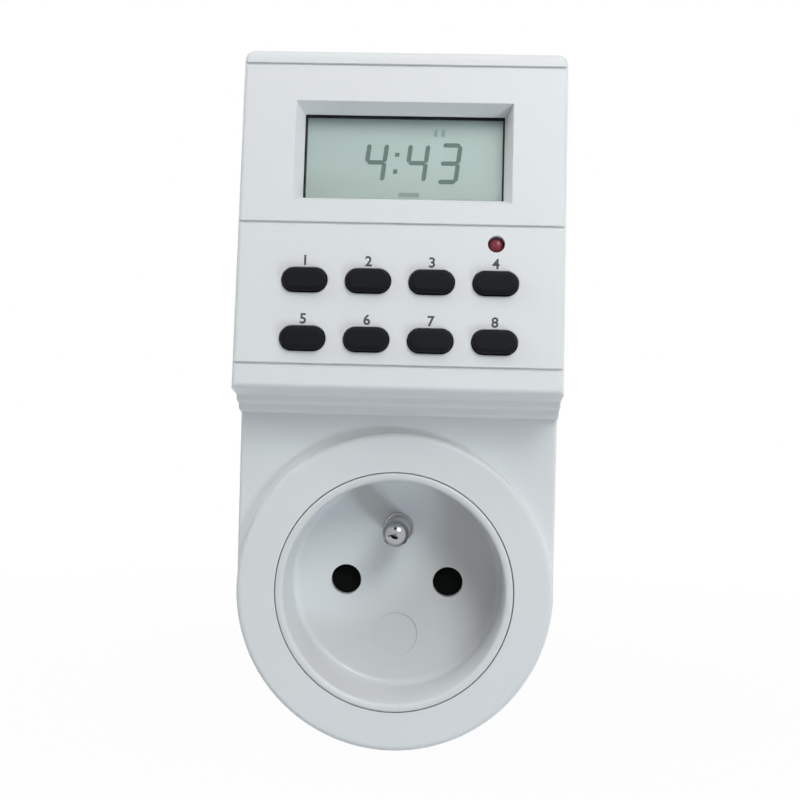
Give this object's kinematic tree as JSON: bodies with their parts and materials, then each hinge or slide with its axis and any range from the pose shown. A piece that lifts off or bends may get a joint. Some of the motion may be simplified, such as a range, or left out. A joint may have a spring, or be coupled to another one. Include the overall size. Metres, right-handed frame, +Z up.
{
  "type": "plug in timer switch",
  "caption": "Upright white case with a wall plug behind, an earthed socket in a round collar in front, and a sloping block with a small display, oval keys and a reset button.",
  "frame": {"origin": "centre of the plug's mating face", "axes": "+Z up the case towards the display, +Y out of the back along the plug pins, -Y out of the socket"},
  "size_m": [0.056, 0.08, 0.122],
  "materials": {
    "case_white": "fine satin moulding",
    "cup_white": "smooth moulding with a polished lip",
    "key_rubber": "matte black rubber",
    "reset_red": "glossy red",
    "window_clear": "clear moulded window",
    "lcd_glass": "grey-green reflective display",
    "frame_plastic": "grey moulding",
    "strip_rubber": "banded conductive rubber",
    "mat_rubber": "grey silicone rubber",
    "switch_plastic": "black moulding",
    "board_green": "green solder resist",
    "board_tan": "bare phenolic board",
    "chip_black": "black resin drop",
    "bright_metal": "bright nickel plating",
    "cell_steel": "plain steel can",
    "screw_steel": "zinc plated steel",
    "ribbon_grey": "grey ribbon cable",
    "relay_blue": "blue sealed case",
    "capacitor_yellow": "yellow case",
    "capacitor_sleeve": "dark shrink sleeve",
    "varistor_blue": "blue coating",
    "resistor_tan": "tan coating",
    "diode_black": "black moulding",
    "block_grey": "grey heat resistant moulding",
    "shutter_dark": "black moulding",
    "contact_brass": "bright brass strip",
    "spring_steel": "spring steel wire",
    "wire_brown": "brown insulation",
    "wire_red": "red insulation",
    "wire_blue": "blue insulation",
    "plate_foil": "bare silvery foil"
  },
  "bodies": {
    "case": {"front_housing": "case_white", "rear_housing": "case_white", "socket_cup": "cup_white", "display_lens": "window_clear", "lcd_panel": "lcd_glass", "display_frame": "frame_plastic", "conductive_strips": "strip_rubber", "keypad_mat": "mat_rubber", "reset_switch": "switch_plastic", "logic_board": "board_green", "controller_chip": "chip_black", "clock_crystal": "bright_metal", "backup_battery": "cell_steel", "ribbon_cable": "ribbon_grey", "logic_board_screws": "screw_steel", "power_board": "board_tan", "power_board_screws": "screw_steel", "relay": "relay_blue", "mains_capacitor": "capacitor_yellow", "smoothing_capacitor": "capacitor_sleeve", "varistor": "varistor_blue", "dropper_resistor": "resistor_tan", "rectifier_diodes": "diode_black", "contact_block": "block_grey", "live_contact": "contact_brass", "neutral_contact": "contact_brass", "shutter_spring": "spring_steel", "front_earth_pin": "bright_metal", "earth_clips": "bright_metal", "rear_earth_contact": "contact_brass", "live_plug_pin": "bright_metal", "neutral_plug_pin": "bright_metal", "neutral_bus": "contact_brass", "live_wire": "wire_brown", "switched_wire": "wire_red", "neutral_wire": "wire_blue", "case_screws": "screw_steel", "rating_plate": "plate_foil"},
    "key_1": {"key_1": "key_rubber"},
    "key_2": {"key_2": "key_rubber"},
    "key_3": {"key_3": "key_rubber"},
    "key_4": {"key_4": "key_rubber"},
    "key_5": {"key_5": "key_rubber"},
    "key_6": {"key_6": "key_rubber"},
    "key_7": {"key_7": "key_rubber"},
    "key_8": {"key_8": "key_rubber"},
    "reset_button": {"reset_button": "reset_red"},
    "safety_shutter": {"safety_shutter": "shutter_dark"}
  },
  "joints": [
    {"name": "key_1_press", "type": "slide", "parent": "case", "child": "key_1", "axis": [0, 0.9949, -0.1011], "range_m": [0, 0.0009], "stiffness_N_per_m": 600, "springref_m": -0.0005},
    {"name": "key_2_press", "type": "slide", "parent": "case", "child": "key_2", "axis": [0, 0.9949, -0.1011], "range_m": [0, 0.0009], "stiffness_N_per_m": 600, "springref_m": -0.0005},
    {"name": "key_3_press", "type": "slide", "parent": "case", "child": "key_3", "axis": [0, 0.9949, -0.1011], "range_m": [0, 0.0009], "stiffness_N_per_m": 600, "springref_m": -0.0005},
    {"name": "key_4_press", "type": "slide", "parent": "case", "child": "key_4", "axis": [0, 0.9949, -0.1011], "range_m": [0, 0.0009], "stiffness_N_per_m": 600, "springref_m": -0.0005},
    {"name": "key_5_press", "type": "slide", "parent": "case", "child": "key_5", "axis": [0, 0.9949, -0.1011], "range_m": [0, 0.0009], "stiffness_N_per_m": 600, "springref_m": -0.0005},
    {"name": "key_6_press", "type": "slide", "parent": "case", "child": "key_6", "axis": [0, 0.9949, -0.1011], "range_m": [0, 0.0009], "stiffness_N_per_m": 600, "springref_m": -0.0005},
    {"name": "key_7_press", "type": "slide", "parent": "case", "child": "key_7", "axis": [0, 0.9949, -0.1011], "range_m": [0, 0.0009], "stiffness_N_per_m": 600, "springref_m": -0.0005},
    {"name": "key_8_press", "type": "slide", "parent": "case", "child": "key_8", "axis": [0, 0.9949, -0.1011], "range_m": [0, 0.0009], "stiffness_N_per_m": 600, "springref_m": -0.0005},
    {"name": "reset_press", "type": "slide", "parent": "case", "child": "reset_button", "axis": [0, 0.9949, -0.1011], "range_m": [0, 0.0004], "stiffness_N_per_m": 800, "springref_m": -0.0004},
    {"name": "shutter_slide", "type": "slide", "parent": "case", "child": "safety_shutter", "axis": [0, 0, -1], "range_m": [0, 0.0066], "stiffness_N_per_m": 60, "springref_m": -0.004, "deforming": ["shutter_spring"]}
  ]
}
